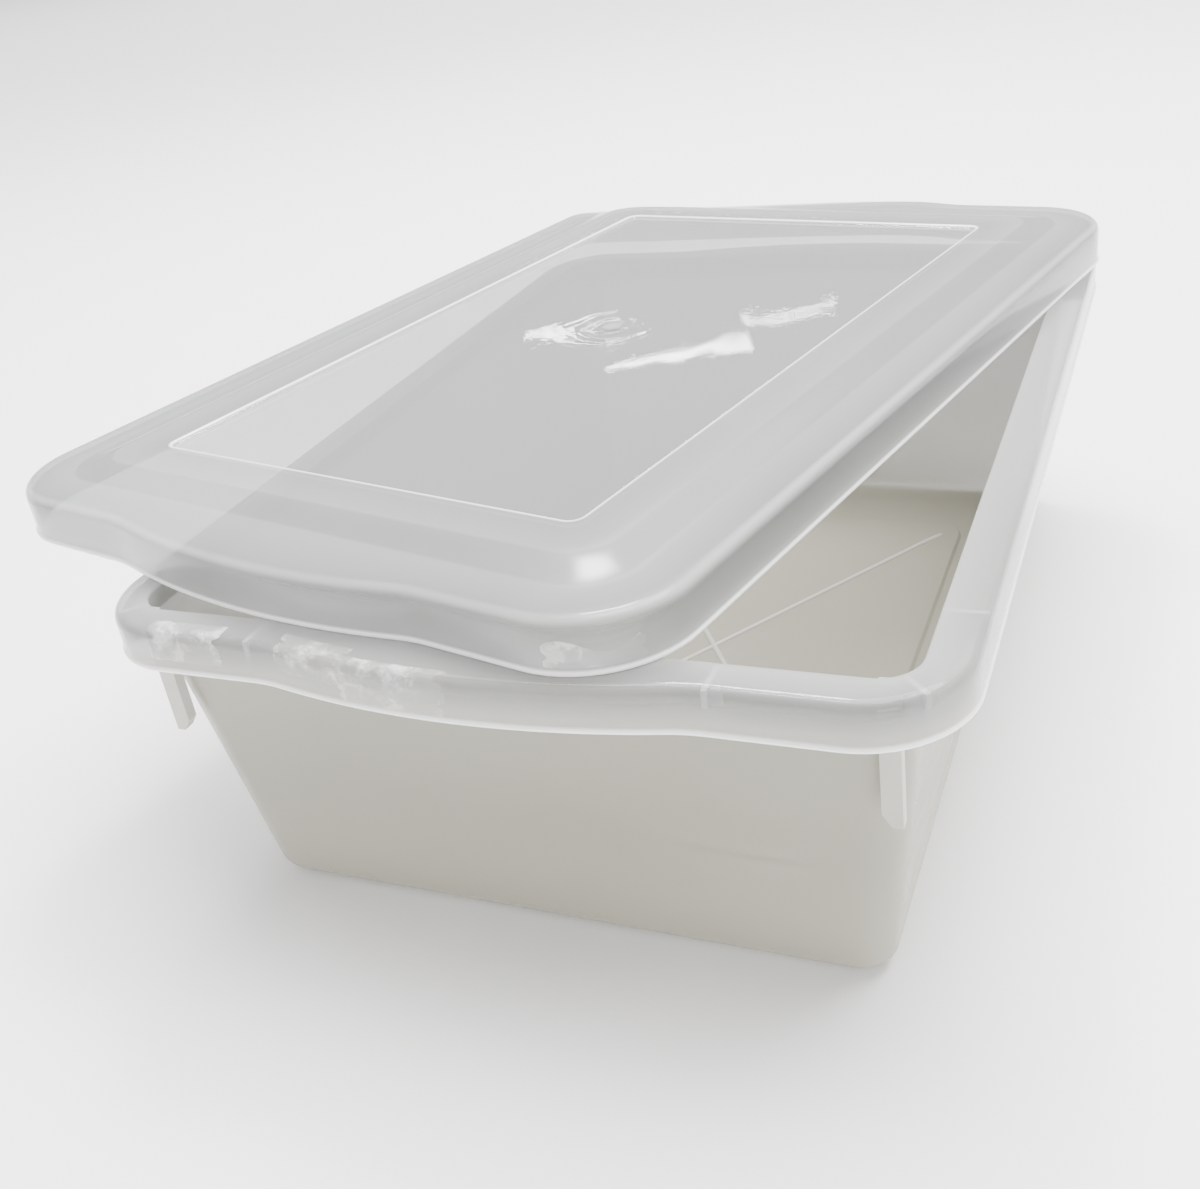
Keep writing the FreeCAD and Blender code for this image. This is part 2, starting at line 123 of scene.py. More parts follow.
class ShoeBoxLidSizes(bpy.types.PropertyGroup):
    """Sizes of the lid"""

    turn: FloatProperty(
        name="Turn", default=math.radians(-12.9), subtype="ANGLE", description="Turn on the rim"
    )
    play: millimetres("Play", 1.4, "Between the lid's skirt and the rim, with the rim's lip")
    skirt: millimetres("Skirt", 13.3, "Height of the lid's skirt")
    top_round: millimetres("Top rounding", 2.8, "Rounding along the lid's top edge")
    skirt_clear: share("Skirt clearness", 0.15, "How clear skirt and border are, window is 1")
    slope_inset: millimetres("Slope inset", 13.0, "Lid's edge to the foot of the slope")
    slope_run: millimetres("Slope run", 10.0, "Width of the slope")
    slope_rise: millimetres("Slope rise", 2.2, "Height of the slope")
    slope_corner: millimetres("Slope corner", 15.0, "Plan radius at the foot of the slope")
    window_inset: millimetres("Window inset", 35.5, "Lid's edge to the sunk window")
    window_corner: millimetres("Window corner", 4.0, "Plan radius of the window")
    window_sink: millimetres("Window sink", 0.8, "Depth of the window")
    step_width: millimetres("Step width", 1.6, "Width of the step round the window")
    droop: millimetres("Droop", 6.0, "How far the free rear left corner hangs down")
    gate_radius: millimetres("Gate radius", 3.0, "Radius of the moulding gate's mark")
    gate_height: millimetres("Gate height", 0.5, "Height of the gate's mark")


class ShoeBoxPlastic(bpy.types.PropertyGroup):
    """Colours and clearness of the plastic"""

    # The tub's colour is its plastic's tint, made warmer and beiger as painted shade under the lid.
    tub_colour_and_shade: colour("Tub", (0.330, 0.315, 0.258), "Milky plastic of the tub's walls and floor")
    # The rim's colour is darker and cooler than the walls' as painted shade, against the light on
    # its top.
    rim_colour_and_shade: colour("Rim", (0.225, 0.228, 0.222), "Milky plastic of the tub's rim")
    lid_colour: colour("Lid", (0.238, 0.246, 0.244), "Milky plastic of the lid")
    # Painted light: this colour whitens the edges and makes them glow, as painted highlight and
    # glow.
    painted_edge_light: colour("Edges", (0.95, 0.95, 0.94), "Where light gathers along thin edges")
    tub_cover: share("Tub cover", 0.68, "How much one face of the tub's wall hides")
    lid_cover: share("Lid cover", 0.53, "How much one face of the lid hides")
    window_cover: share("Window cover", 0.28, "How much one face of the window hides")
    rim_cover: share("Clear tub cover", 0.26, "How much the tub would hide where it is all clear")
    tub_rough: share("Tub roughness", 0.165, "Roughness of the tub, before its clouds")
    lid_rough: share("Lid roughness", 0.10, "Roughness of the lid, before its clouds")


class ShoeBoxStudio(bpy.types.PropertyGroup):
    """Floor, light and camera"""

    camera_place: FloatVectorProperty(
        name="Camera", default=(0.1387, -0.3588, 0.2364), size=3, unit="LENGTH",
        description="Place of the camera",
    )
    camera_tilt: FloatVectorProperty(
        name="Camera tilt", default=tuple(math.radians(a) for a in (61.18, 7.69, 22.09)), size=3,
        subtype="EULER", description="Turn of the camera about X, Y and Z",
    )
    lens: FloatProperty(name="Lens", default=40.8, description="Focal length for a 36 mm frame")
    floor_colour: colour("Floor", (0.93, 0.93, 0.93), "Plain pale floor")
    sky: FloatProperty(name="Sky", default=1.2, min=0.0, description="Strength of the room's light")
    backdrop: FloatProperty(
        name="Backdrop", default=2.6, min=0.0, description="Extra brightness of the plain backdrop"
    )


# ---------------------------------------------------------------- shapes


# Points along a long side, along a short side and round a corner of every ring.
LONG_STEPS, SHORT_STEPS, CORNER_STEPS = 56, 64, 14
# The rings next to a middle keep at least this corner radius.
LEAST_CORNER = 0.4 * MM
# Points nearer than this are one point.
MERGE_REACH = 0.0001 * MM


def rim_half(mould):
    """Half sizes of the rim without its lip and grips."""
    return TUB_HIGH.x - mould.lip, TUB_HIGH.y - mould.lip - mould.grip_depth


def wall_lean(mould, tub):
    """How far the wall comes in on its way down, for each metre of height."""
    return (tub.base_inset - tub.opening_inset + mould.wall) / TUB_HIGH.z


def ease(part):
    """Smooth step from 0 to 1."""
    return part * part * (3 - 2 * part)


def grip_bulge(x, mould):
    """How far a short side stands out at x: a wide arc led in by two smaller ones."""
    grip_half, grip_depth, grip_ease = mould.grip_half, mould.grip_depth, mould.grip_ease
    crown = (grip_half**2 + grip_depth**2) / (2 * grip_depth) - grip_ease
    x = np.abs(x)
    change = grip_half * crown / (crown + grip_ease)
    inner = grip_depth - crown + np.sqrt(np.maximum(crown**2 - x**2, 0))
    past = np.maximum(grip_half - x, 0)
    outer = grip_ease - np.sqrt(np.maximum(grip_ease**2 - past**2, 0))
    return np.where(x < change, inner, np.where(x < grip_half, outer, 0.0))


class Ring:
    """Closed loop at one height, with how much of the grips it shows.

    For the look of the plastic it also says how much painted light it carries as a bright, glowing
    edge (painted highlight and glow), and how much it is a clear window.
    """

    def __init__(self, half_x, half_y, corner, height, grip=0.0, edge=0.0, clear=0.0):
        self.values = np.array([half_x, half_y, corner, height, grip, edge, clear])

    def towards(self, other, part):
        return Ring(*(self.values * (1 - part) + other.values * part))

    def points(self, mould):
        half_x, half_y, corner, height, grip = self.values[:5]
        corner = min(corner, half_x, half_y)
        in_x, in_y = half_x - corner, half_y - corner
        along_y = np.linspace(-in_y, in_y, LONG_STEPS, endpoint=False)
        along_x = np.linspace(in_x, -in_x, SHORT_STEPS, endpoint=False)
        bend = np.linspace(0, math.pi / 2, CORNER_STEPS, endpoint=False)
        cos, sin = np.cos(bend) * corner, np.sin(bend) * corner
        swell = grip_bulge(along_x, mould) * grip
        right = np.column_stack([np.full(LONG_STEPS, half_x), along_y])
        rear_right = np.column_stack([in_x + cos, in_y + sin])
        rear = np.column_stack([along_x, half_y + swell])
        rear_left = np.column_stack([-in_x - sin, in_y + cos])
        half_loop = np.vstack([right, rear_right, rear, rear_left])
        loop = np.vstack([half_loop, -half_loop])
        return np.column_stack([loop, np.full(len(loop), height)])


def spread(first, last, count):
    """Rings between two rings, both left out."""
    return [first.towards(last, i / (count + 1)) for i in range(1, count + 1)]


def arc(centre, radius, start, end, steps):
    """Points (inset, height) along an arc of a section, angles in degrees."""
    angles = np.radians(np.linspace(start, end, steps + 1))
    return [(centre[0] + radius * math.cos(a), centre[1] + radius * math.sin(a)) for a in angles]


def tube_faces(levels, count, start=0):
    """Faces between closed loops of count points, from the first loop to the last."""
    faces = []
    for level in range(levels - 1):
        low, high = start + level * count, start + (level + 1) * count
        for i in range(count):
            j = (i + 1) % count
            faces.append((low + i, low + j, high + j, high + i))
    return faces


def end_faces(levels, count, start=0):
    """The two faces that close a tube of loops."""
    last = start + (levels - 1) * count
    return [tuple(range(start + count - 1, start - 1, -1)), tuple(range(last, last + count))]


def new_mesh(name, points, faces, smooth=True, **looks):
    """Mesh with its faces turned outwards, and each look as one value or one for each point."""
    mesh = bpy.data.meshes.new(name)
    mesh.from_pydata(np.asarray(points).tolist(), [], faces)
    if smooth:
        mesh.shade_smooth()
    for look, amounts in looks.items():
        add_look(mesh, look, np.broadcast_to(amounts, len(mesh.vertices)))
    outward(mesh)
    return mesh


def shell(name, rings, mould):
    """Closed mesh through rings, from the middle of its upper side round to its underside."""
    loops = [ring.points(mould) for ring in rings]
    count = len(loops[0])
    points = np.vstack(loops + [loops[0].mean(0), loops[-1].mean(0)])
    faces = tube_faces(len(loops), count)
    last = (len(loops) - 1) * count
    first_middle, last_middle = len(points) - 2, len(points) - 1
    for i in range(count):
        j = (i + 1) % count
        faces.append((first_middle, j, i))
        faces.append((last_middle, last + i, last + j))
    levels = np.array([ring.values[-2:] for ring in rings])
    edge, clear = np.vstack([np.repeat(levels, count, axis=0), levels[[0, -1]]]).T
    return new_mesh(name, points, faces, edge=edge, clear=clear)


def add_look(mesh, look, amounts):
    """Stores one value for every point, such as how much the plastic looks like an edge."""
    attribute = mesh.attributes.new(look, "FLOAT", "POINT")
    attribute.data.foreach_set("value", np.array(amounts, np.float32))


def add_object(name, mesh, *materials):
    piece = bpy.data.objects.new(name, mesh)
    bpy.context.scene.collection.objects.link(piece)
    for material in materials:
        mesh.materials.append(material)
    return piece


def read_points(mesh):
    points = np.empty(len(mesh.vertices) * 3)
    mesh.vertices.foreach_get("co", points)
    return points.reshape(-1, 3)


def merge_doubles(mesh):
    """Merges points that lie on each other and drops the empty faces between them."""
    build = bmesh.new()
    build.from_mesh(mesh)
    bmesh.ops.remove_doubles(build, verts=build.verts, dist=MERGE_REACH)
    build.to_mesh(mesh)
    build.free()


def outward(mesh):
    """Turns the mesh round if its faces point inwards."""
    points = read_points(mesh)
    mesh.calc_loop_triangles()
    corners = np.empty(len(mesh.loop_triangles) * 3, int)
    mesh.loop_triangles.foreach_get("vertices", corners)
    a, b, c = (points[corners.reshape(-1, 3)[:, k]] for k in range(3))
    if np.einsum("ij,ij->i", a, np.cross(b, c)).sum() < 0:
        mesh.flip_normals()


def tub_rings(mould, tub):
    """Section of the tub, as rings from the middle of the floor over the rim to the underside."""
    height = TUB_HIGH.z
    half_x, half_y = rim_half(mould)
    wall, lip, corner = mould.wall, mould.lip, mould.rim_corner
    lean = wall_lean(mould, tub)
    tilt = math.degrees(math.atan(lean))
    slant = math.hypot(1, lean)
    foot = height - tub.rim_skirt

    def rim(inset, z, edge=0.0):
        return Ring(half_x - inset, half_y - inset, corner - inset, z, 1.0, edge, tub.rim_clear)

    def side(inset, z, shift):
        bend = tub.base_corner + (tub.opening_corner + wall - tub.base_corner) * z / height - shift
        return Ring(half_x - inset, half_y - inset, bend, z)

    def face(z, shift):
        return side(tub.base_inset - lean * z + shift, z, shift)

    def panel(grow, z):
        size_x, size_y = tub.panel_width / 2 + grow, tub.panel_length / 2 + grow
        return Ring(size_x, size_y, tub.panel_corner + grow, z)

    def middle(outer):
        size_x, size_y, bend, z = outer.values[:4]
        return [
            Ring(size_x * k, size_y * k, max(bend * k, LEAST_CORNER), z)
            for k in (0.03, 0.3, 0.6, 0.85)
        ]

    def step(low, high, shift, grow):
        """Soft step of the floor panel, from its top edge outwards."""
        rings = []
        for k in np.linspace(0, 1, 7):
            z = high + (low - high) * ease(k)
            rings.append(panel(grow + tub.panel_slope * (k - 0.5) + shift, z))
        return rings

    def base_bend(radius, shift, floor):
        z = floor + radius
        inset = tub.base_inset + shift + radius * slant - lean * z
        section = arc((inset, z), radius, 270, 180 + tilt, 8)
        return [side(d, h, shift) for d, h in section]

    inner_step = step(wall, wall + tub.panel_rise, 0, 0)
    inner_bend = base_bend(tub.base_round - wall, wall, wall)
    edge = tub.opening_edge
    # Painted highlight along the opening's rounded edge.
    round_edge = [
        Ring(half_x - d, half_y - d, tub.opening_corner + tub.opening_inset - d, h, 0.0, 0.15)
        for d, h in arc((tub.opening_inset - edge, height - edge), edge, 0, 90, 4)
    ]
    # Painted highlight along the rim's top rounding.
    rim_top = [
        rim(d, h, 0.08)
        for d, h in arc((tub.rim_round, height - tub.rim_round), tub.rim_round, 90, 180, 8)
    ]
    lip_round = mould.lip_height / 2
    # Painted highlight and glow along the rim skirt's lip.
    skirt_edge = [rim(0, foot + mould.lip_height * 1.6, 0.2)]
    skirt_edge += [
        rim(d, h, 1.0)
        for d, h in arc((lip_round - lip, foot + lip_round), lip_round, 110, 270, 7)
    ]
    skirt_edge += [rim(wall * 0.8, foot, 1.0), rim(wall, foot + wall * 0.2, 0.8)]
    under_round = tub.rim_round - wall / 2
    rim_under = [
        rim(d, h)
        for d, h in arc((wall + under_round, height - wall - under_round), under_round, 180, 90, 6)
    ]
    root = tub.root_round
    root_z = height - wall - root
    root_inset = tub.base_inset - lean * root_z
    root_bend = [
        side(d, h, 0) for d, h in arc((root_inset - root, root_z), root, 90, 0, 4)
    ]
    outer_bend = base_bend(tub.base_round, 0, 0)
    outer_step = step(0, tub.panel_rise, 0, -wall)

    rings = middle(inner_step[0]) + inner_step
    rings += spread(inner_step[-1], inner_bend[0], 2) + inner_bend
    rings += spread(inner_bend[-1], round_edge[0], 16) + round_edge
    rings += spread(round_edge[-1], rim_top[0], 7) + rim_top
    rings += spread(rim_top[-1], skirt_edge[0], 4) + skirt_edge
    rings += spread(skirt_edge[-1], rim_under[0], 4) + rim_under
    rings += spread(rim_under[-1], root_bend[0], 5) + root_bend
    rings += spread(root_bend[-1], outer_bend[-1], 16) + outer_bend[::-1]
    rings += spread(outer_bend[0], outer_step[-1], 2) + outer_step[::-1]
    rings += middle(outer_step[0])[::-1]
    return rings


def lid_rings(mould, lid, half_x, half_y):
    """Section of the lid about its own middle, its skirt's edge at height 0."""
    wall, lip = mould.wall, mould.lip
    corner = mould.rim_corner + lid.play + wall
    border, top = lid.skirt, lid.skirt + lid.slope_rise

    def edge(inset, z, light=0.0):
        return Ring(half_x - inset, half_y - inset, corner - inset, z, 1.0, light, lid.skirt_clear)

    def inner(inset, z, bend, light=0.0, clear=0.0):
        return Ring(half_x - inset, half_y - inset, bend, z, 0.0, light, clear)

    def slope(drop):
        rings = []
        for k in np.linspace(0, 1, 11):
            rise = (ease(k) + 2 * k) / 3
            bend = lid.slope_corner - lid.slope_run / 2 * k
            inset = lid.slope_inset + lid.slope_run * k
            # Painted highlight lines along the slope's foot and top.
            light = 0.07 if k in (0.0, 1.0) else 0.0
            rings.append(inner(inset, border + lid.slope_rise * rise - drop, bend, light))
        return rings

    def window(drop):
        """Step round the window, from its middle outwards."""
        size = [lid.window_inset + lid.step_width * k for k in (1.2, 0.9, 0.6, 0.3, 0.0, -0.3)]
        sunk = top - lid.window_sink
        heights = [sunk, sunk, (sunk + top) / 2, top, top, top]
        bends = [max(lid.window_corner + lid.window_inset - d, 0.001) for d in size]
        # Painted highlight along the step round the window.
        lights = (0.0, 0.0, 0.3, 0.9, 0.5, 0.0)
        clears = (1.0, 1.0, 0.5, 0.0, 0.0, 0.0)
        rings = [
            inner(d, z - drop, b, light, clear)
            for d, z, b, light, clear in zip(size, heights, bends, lights, clears)
        ]
        size_x, size_y, bend, z = rings[0].values[:4]
        middle = [
            Ring(size_x * k, size_y * k, max(bend * k, LEAST_CORNER), z, 0.0, 0.0, 1.0)
            for k in (0.03, 0.2, 0.4, 0.6, 0.8, 0.93)
        ]
        return middle + rings

    lip_round = mould.lip_height / 2
    # Painted highlight along the lid's top rounding, strongest half way round it.
    round_top = [
        edge(d, h, 0.3 * math.sin(math.pi * step / 8) ** 2)
        for step, (d, h) in enumerate(
            arc((lid.top_round, border - lid.top_round), lid.top_round, 90, 180, 8)
        )
    ]
    # Painted highlight and glow along the lid skirt's lip.
    skirt_edge = [edge(0, mould.lip_height * 1.6, 0.2)]
    skirt_edge += [
        edge(d, h, 1.0) for d, h in arc((lip_round - lip, lip_round), lip_round, 110, 270, 7)
    ]
    skirt_edge += [edge(wall * 0.8, 0, 1.0), edge(wall, wall * 0.2, 0.8)]
    under = lid.top_round - wall / 2
    round_under = [
        edge(d, h)
        for d, h in arc((wall + under, border - wall - under), under, 180, 90, 6)
    ]
    window_top, window_under = window(0), window(wall)
    slope_top, slope_under = slope(0), slope(wall)

    rings = window_top + spread(window_top[-1], slope_top[-1], 3) + slope_top[::-1]
    rings += spread(slope_top[0], round_top[0], 6) + round_top
    rings += spread(round_top[-1], skirt_edge[0], 5) + skirt_edge
    rings += spread(skirt_edge[-1], round_under[0], 5) + round_under
    rings += spread(round_under[-1], slope_under[0], 6) + slope_under
    rings += spread(slope_under[-1], window_under[-1], 3) + window_under[::-1]
    return rings


def gate_mesh(lid):
    """Low round boss where the plastic ran in, with a dimple in its top."""
    # Shares of the radius and of the height, from the dimple's floor to the foot in the window.
    profile = ((0.3, 0.5), (0.55, 0.7), (0.8, 1.0), (0.93, 0.9), (1.0, 0.55), (1.0, -0.4))
    count = 40
    turns = np.linspace(0, 2 * math.pi, count, endpoint=False)
    window = lid.skirt + lid.slope_rise - lid.window_sink
    points = [
        np.column_stack([
            lid.gate_radius * out * np.cos(turns),
            lid.gate_radius * out * np.sin(turns),
            np.full(count, window + lid.gate_height * up),
        ])
        for out, up in profile
    ]
    faces = tube_faces(len(profile), count) + end_faces(len(profile), count)
    # The gate's mark carries a little painted highlight.
    return new_mesh("lid_gate_mark", np.vstack(points), faces, edge=0.15, clear=0.6)


def lug_mesh(mould, tub):
    """Four upright fins that stand out of the short walls, bevelled at the foot."""
    half_x, half_y = rim_half(mould)
    foot_inset = tub.base_inset - wall_lean(mould, tub) * tub.lug_foot
    outer_x = half_x - foot_inset
    outer_y = half_y - foot_inset + tub.lug_reach
    let_in = tub.opening_inset * 0.2
    back_y = half_y - tub.opening_inset + mould.wall / 2 - let_in
    foot, top = tub.lug_foot, TUB_HIGH.z - mould.wall / 2
    bevel_width, bevel_height = tub.lug_bevel_width, tub.lug_bevel
    profile = [
        (outer_x, foot),
        (outer_x, top),
        (outer_x - tub.lug_width, top),
        (outer_x - tub.lug_width, foot + bevel_height),
        (outer_x - tub.lug_width + bevel_width, foot),
    ]
    points, faces, count = [], [], len(profile)
    for side_x in (1, -1):
        for side_y in (1, -1):
            start = len(points)
            for y in (back_y, outer_y):
                points += [(side_x * x, side_y * y, z) for x, z in profile]
            fin = tube_faces(2, count, start) + end_faces(2, count, start)
            mirrored = side_x * side_y < 0
            faces += [face[::-1] for face in fin] if mirrored else fin
    # The lugs carry painted highlight and glow.
    return new_mesh("tub_lugs", points, faces, smooth=False, edge=0.25, clear=0.0)


def floor_rib_mesh(mould, tub):
    """Two low half round ribs that cross on the raised floor panel."""
    sunk, crest = tub.cross_height * 0.3, tub.cross_height * 1.3
    bottom = mould.wall + tub.panel_rise - sunk
    length = math.hypot(tub.panel_width, tub.panel_length) - 2 * tub.panel_corner
    slant = math.atan2(tub.panel_length, tub.panel_width)
    profile = [
        (math.cos(a) * tub.cross_width / 2, math.sin(a) * crest)
        for a in np.linspace(0, math.pi, 7)
    ]
    stations = np.linspace(-length / 2, length / 2, 41)
    taper, least = 4 * tub.cross_width, 0.02
    points, faces, count = [], [], len(profile)
    for turn in (slant, -slant):
        start = len(points)
        for along in stations:
            fade = min(1, (length / 2 - abs(along)) / taper + least)
            for across, rise in profile:
                x = along * math.cos(turn) - across * math.sin(turn)
                y = along * math.sin(turn) + across * math.cos(turn)
                points.append((x, y, bottom + rise * fade))
        faces += tube_faces(len(stations), count, start) + end_faces(len(stations), count, start)
    # The floor ribs carry painted highlight and glow.
    return new_mesh("tub_floor_ribs", points, faces, edge=0.35, clear=0.0)


# Remains of film on the rim's front: left and right end, inset of the upper edge, height of the
# lower edge, all in metres, and a number that gives each its own wrinkles.
RIM_FILM = (
    (-0.083, -0.062, 0.005, 0.0835, 0.4),
    (-0.046, -0.026, 0.006, 0.0850, 1.9),
    (-0.029, 0.000, 0.003, 0.0815, 3.1),
)
# Remains of film round the lid's near corner: heights above the skirt's edge, angles in degrees.
LID_FILM_FOOT, LID_FILM_TOP = 2.0 * MM, 8.5 * MM
LID_FILM_START, LID_FILM_END = -78.0, -30.0
# Film's outer side above the plastic, height of its creases, and its inner side, let in a little.
RIM_FILM_LIFT, RIM_FILM_CREASE = 0.16 * MM, 0.12 * MM
LID_FILM_LIFT, LID_FILM_CREASE = 0.14 * MM, 0.10 * MM
FILM_LET_IN = 0.05 * MM


def corner_film_mesh(name, centre_x, centre_y, radius):
    """Thin wrinkled film round a corner of the lid's skirt."""
    columns, rows = 40, 18
    foot, top, start, end = LID_FILM_FOOT, LID_FILM_TOP, LID_FILM_START, LID_FILM_END
    turn, rise = np.meshgrid(np.linspace(0, 1, columns), np.linspace(0, 1, rows), indexing="ij")
    ragged = 0.05 * np.sin(11 * rise) * (2 * turn - 1)
    angle = np.radians(start + (end - start) * np.clip(turn + ragged, 0, 1))
    height = foot + (top - foot) * rise * (0.75 + 0.25 * np.sin(6 * turn + 0.8))
    crease = np.sin(27 * turn + 4 * np.sin(6 * rise)) * np.sin(15 * rise + 5 * turn)
    points, faces = [], []
    for lift in (LID_FILM_LIFT + LID_FILM_CREASE * crease, -FILM_LET_IN):
        out = radius + lift
        patch = [centre_x + out * np.cos(angle), centre_y + out * np.sin(angle), height]
        points += np.stack(np.broadcast_arrays(*patch), axis=-1).reshape(-1, 3).tolist()
    close_patch(faces, 0, columns, rows)
    mesh = new_mesh(name, points, faces)
    merge_doubles(mesh)
    return mesh


def close_patch(faces, start, columns, rows):
    """Faces of a thin patch: its upper grid of points, its lower grid and its border."""
    under = columns * rows
    for i in range(columns - 1):
        for j in range(rows - 1):
            a, b = start + i * rows + j, start + (i + 1) * rows + j
            faces.append((a, a + 1, b + 1, b))
            faces.append((a + under, b + under, b + under + 1, a + under + 1))
    border = [i * rows for i in range(columns)]
    border += [(columns - 1) * rows + j for j in range(1, rows)]
    border += [i * rows + rows - 1 for i in reversed(range(columns - 1))]
    border += list(reversed(range(1, rows - 1)))
    for a, b in zip(border, border[1:] + border[:1]):
        faces.append((start + a, start + b, start + b + under, start + a + under))


def film_mesh(name, mould, tub):
    """Thin wrinkled patches of sticky film that wrap over the front rim's edge."""
    height = TUB_HIGH.z
    half_y = rim_half(mould)[1]
    bend = arc((tub.rim_round, height - tub.rim_round), tub.rim_round, 90, 180, 5)
    points, faces = [], []
    columns, rows = 44, 26
    for left, right, top_inset, foot, seed in RIM_FILM:
        section = [(top_inset, height)] + bend + [(0.0, foot)]
        lengths = np.cumsum([0.0] + [math.dist(a, b) for a, b in zip(section, section[1:])])
        along = np.linspace(0, lengths[-1], rows)
        insets = np.interp(along, lengths, [d for d, _ in section])
        levels = np.interp(along, lengths, [h for _, h in section])
        facing = np.clip(1 - insets / tub.rim_round, 0, 1) * math.pi / 2
        start = len(points)
        u, v = np.meshgrid(np.linspace(0, 1, columns), np.linspace(0, 1, rows), indexing="ij")
        ragged = 0.06 * np.sin(9 * v + seed) + 0.04 * np.sin(23 * v + 2 * seed)
        x = left + (right - left) * np.clip(u + ragged * (2 * u - 1), 0, 1)
        crease = np.sin(31 * u + 5 * np.sin(7 * v + seed)) * np.sin(19 * v + 4 * u + seed)
        for rise in (RIM_FILM_LIFT + RIM_FILM_CREASE * crease, -FILM_LET_IN):
            y = -(half_y + grip_bulge(x, mould))
            y = y + insets - rise * np.sin(facing)
            z = levels + rise * np.cos(facing)
            patch = np.stack(np.broadcast_arrays(x, y, z), axis=-1)
            points += patch.reshape(-1, 3).tolist()
        close_patch(faces, start, columns, rows)
    mesh = new_mesh(name, points, faces)
    merge_doubles(mesh)
    return mesh


# ---------------------------------------------------------------- nodes


class Wire:
    """Output of a node. An expression on it adds Math nodes."""

    def __init__(self, tree, socket):
        self.tree = tree
        self.socket = socket

    def maths(self, operation, *values):
        return self.tree.node("ShaderNodeMath", {"operation": operation}, dict(enumerate(values)))

    def __add__(self, other):
        return self.maths("ADD", self, other)

    def __sub__(self, other):
        return self.maths("SUBTRACT", self, other)

    def __rsub__(self, other):
        return self.maths("SUBTRACT", other, self)

    def __mul__(self, other):
        return self.maths("MULTIPLY", self, other)

    __radd__ = __add__
    __rmul__ = __mul__

    def between(self, low, high):
        """Smooth rise from 0 at low to 1 at high."""
        settings = {"interpolation_type": "SMOOTHSTEP"}
        return self.tree.node("ShaderNodeMapRange", settings, {0: self, 1: low, 2: high})

    def lowest(self, other):
        return self.maths("MINIMUM", self, other)

    def sine(self):
        return self.maths("SINE", self)


class Tree:
    """Node tree that is put together one node at a time."""

    def __init__(self, group):
        self.group = group

    def node(self, kind, settings=None, inputs=None, output=0):
        added = self.group.nodes.new(kind)
        for name, value in (settings or {}).items():
            setattr(added, name, value)
        for name, value in (inputs or {}).items():
            socket = added.inputs[name]
            if isinstance(value, Wire):
                self.group.links.new(value.socket, socket)
            else:
                socket.default_value = value
        return Wire(self, added.outputs[output]) if added.outputs else None

    def blend(self, factor, first, second):
        """Colour between two colours."""
        sides = {0: factor, 6: first, 7: second}
        sides = {k: v if isinstance(v, Wire) or k == 0 else (*v, 1.0) for k, v in sides.items()}
        return self.node("ShaderNodeMix", {"data_type": "RGBA"}, sides, output=2)

    def noise(self, place, scale, detail=2.0, roughness=0.5):
        values = {"Vector": place, "Scale": scale, "Detail": detail, "Roughness": roughness}
        return self.node("ShaderNodeTexNoise", None, values)


def new_shader(name):
    material = bpy.data.materials.new(name)
    material.use_nodes = True
    material.node_tree.nodes.clear()
    return material, Tree(material.node_tree)


# Sizes of the plastic's patterns: noise scales for slow clouds, flow marks, fine grain and the
# curls round the gate, the curls' rate in radians a metre and their reach, the waves' height,
# and over which heights the painted light at the foot and the painted shade between wall and rim
# change, in metres.
CLOUD_SCALE, FLOW_SCALE, GRAIN_SCALE, CURL_SCALE = 11.0, 34.0, 700.0, 60.0
CURL_RATE, CURL_REACH = 900.0, (0.002, 0.022)
WAVE_HEIGHT = 0.0012
PAINTED_FOOT_LIGHT_TOP, RIM_CHANGE = 0.045, 0.007


